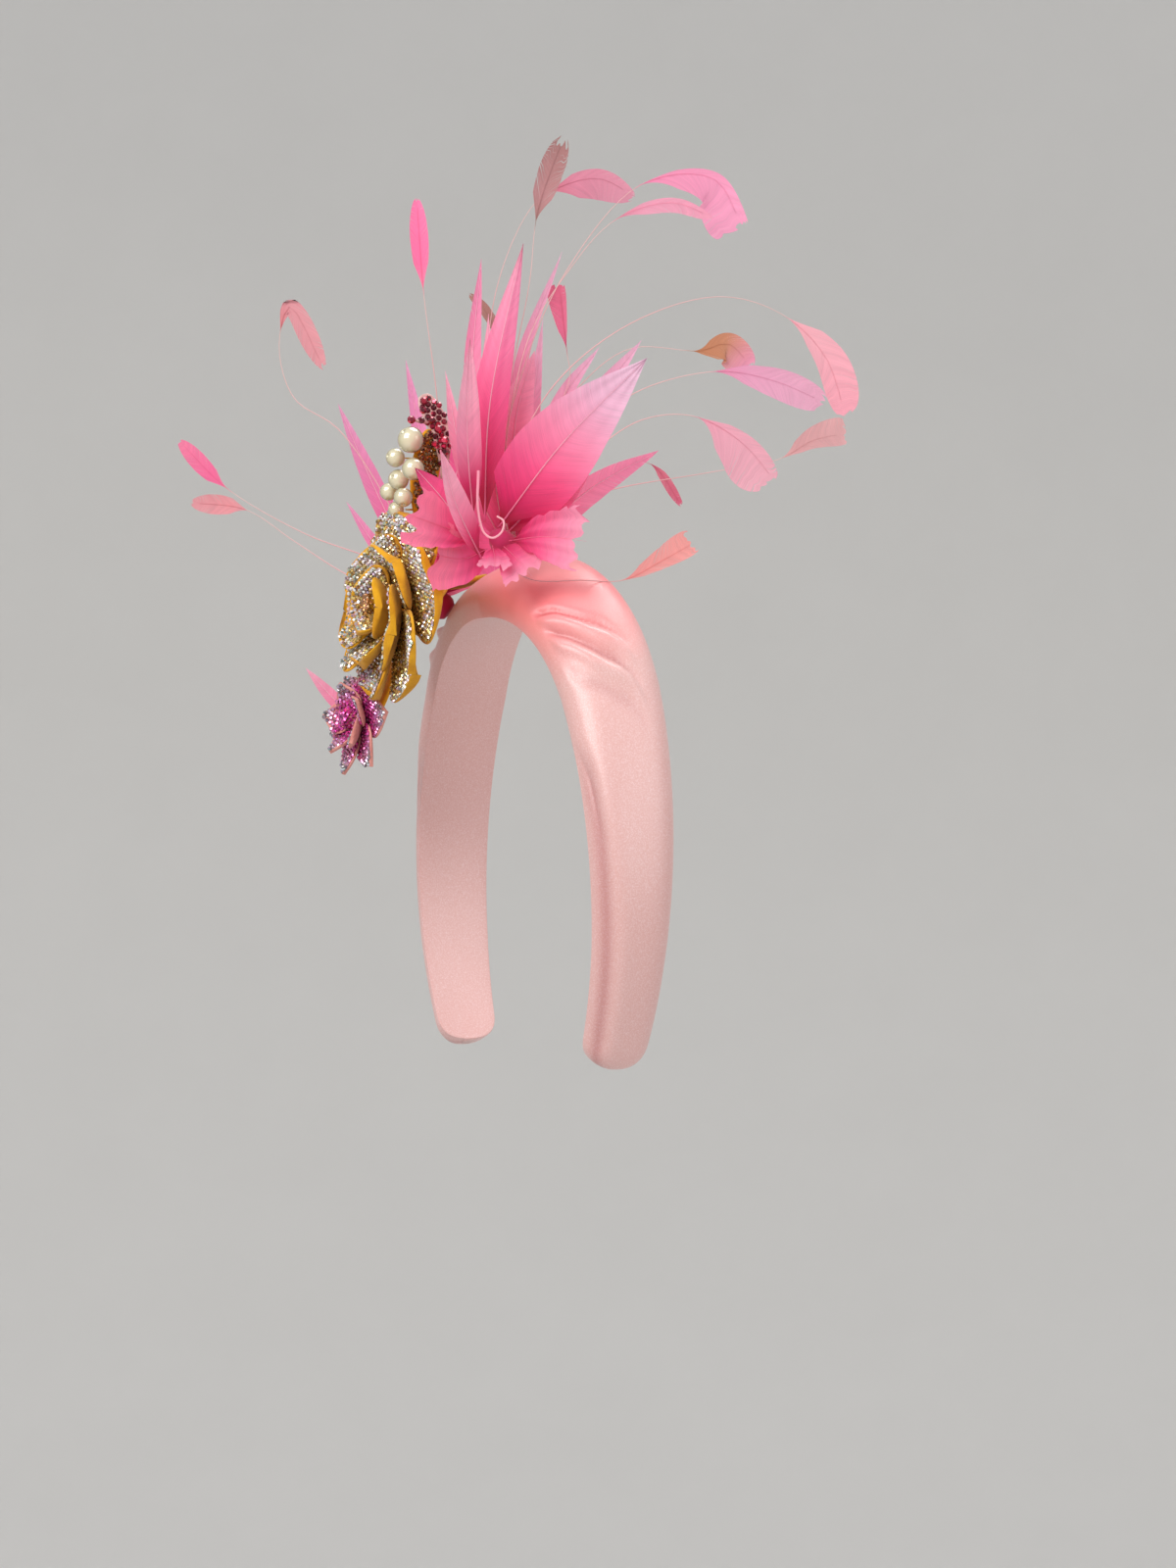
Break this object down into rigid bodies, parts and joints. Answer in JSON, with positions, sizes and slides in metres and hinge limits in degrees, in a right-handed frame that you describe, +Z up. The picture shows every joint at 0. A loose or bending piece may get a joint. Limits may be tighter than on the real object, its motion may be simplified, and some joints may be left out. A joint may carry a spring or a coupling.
{
  "type": "fascinator on a padded headband",
  "caption": "Padded satin headband that arches over the head, carrying a jewelled felt rose, pearls, feather flowers and long stripped feathers above the forehead.",
  "frame": {"origin": "the inner face of the band at the top of the head, where the band sits", "axes": "+Z up, -Y the way the wearer faces, +X the wearer's left"},
  "size_m": [0.2044, 0.217, 0.3464],
  "materials": {
    "satin": "satin",
    "felt": "matte",
    "jewelled_felt": "matte",
    "pink_jewelled_felt": "matte",
    "crystal": "gloss",
    "pearl": "gloss",
    "feather": "matte",
    "stripped_feather": "matte"
  },
  "bodies": {
    "root": {"satin_headband": "satin", "rose_outer_petal_1": "jewelled_felt", "rose_outer_petal_2": "jewelled_felt", "rose_outer_petal_3": "jewelled_felt", "rose_outer_petal_4": "jewelled_felt", "rose_outer_petal_5": "jewelled_felt", "rose_outer_petal_6": "jewelled_felt", "rose_middle_petal_1": "jewelled_felt", "rose_middle_petal_2": "jewelled_felt", "rose_middle_petal_3": "jewelled_felt", "rose_middle_petal_4": "jewelled_felt", "rose_middle_petal_5": "jewelled_felt", "rose_inner_petal_1": "jewelled_felt", "rose_inner_petal_2": "jewelled_felt", "rose_inner_petal_3": "jewelled_felt", "rose_heart": "jewelled_felt", "pearl_1": "pearl", "pearl_2": "pearl", "pearl_3": "pearl", "pearl_4": "pearl", "pearl_5": "pearl", "pearl_6": "pearl", "pearl_7": "pearl", "feather_petal_bottom_small": "feather", "feather_petal_bottom": "feather", "feather_petal_pale_leaf": "feather", "feather_petal_left_upper": "feather", "feather_petal_left_lower": "feather", "feather_petal_right_ruffled": "feather", "feather_petal_right_large": "feather", "feather_petal_right_under": "feather", "feather_petal_dark_tip": "feather", "feather_petal_narrow_pale": "feather", "feather_petal_tall": "feather", "jewelled_felt_leaf": "jewelled_felt", "crystal_sprig": "crystal", "pink_flower_back": "pink_jewelled_felt", "pink_flower_front": "pink_jewelled_felt", "feather_spray_near": "feather", "feather_flower_far": "feather", "pink_loose_feather": "feather", "curled_quill": "stripped_feather", "stripped_feather_1": "stripped_feather", "stripped_feather_2": "stripped_feather", "stripped_feather_3": "stripped_feather", "stripped_feather_4": "stripped_feather", "stripped_feather_5": "stripped_feather", "stripped_feather_6": "stripped_feather", "stripped_feather_7": "stripped_feather", "stripped_feather_8": "stripped_feather", "stripped_feather_9": "stripped_feather", "stripped_feather_10": "stripped_feather", "stripped_feather_11": "stripped_feather", "stripped_feather_12": "stripped_feather", "stripped_feather_13": "stripped_feather", "stripped_feather_14": "stripped_feather", "stripped_feather_15": "stripped_feather", "stripped_feather_16": "stripped_feather", "stripped_feather_17": "stripped_feather", "felt_base": "felt"}
  },
  "joints": []
}
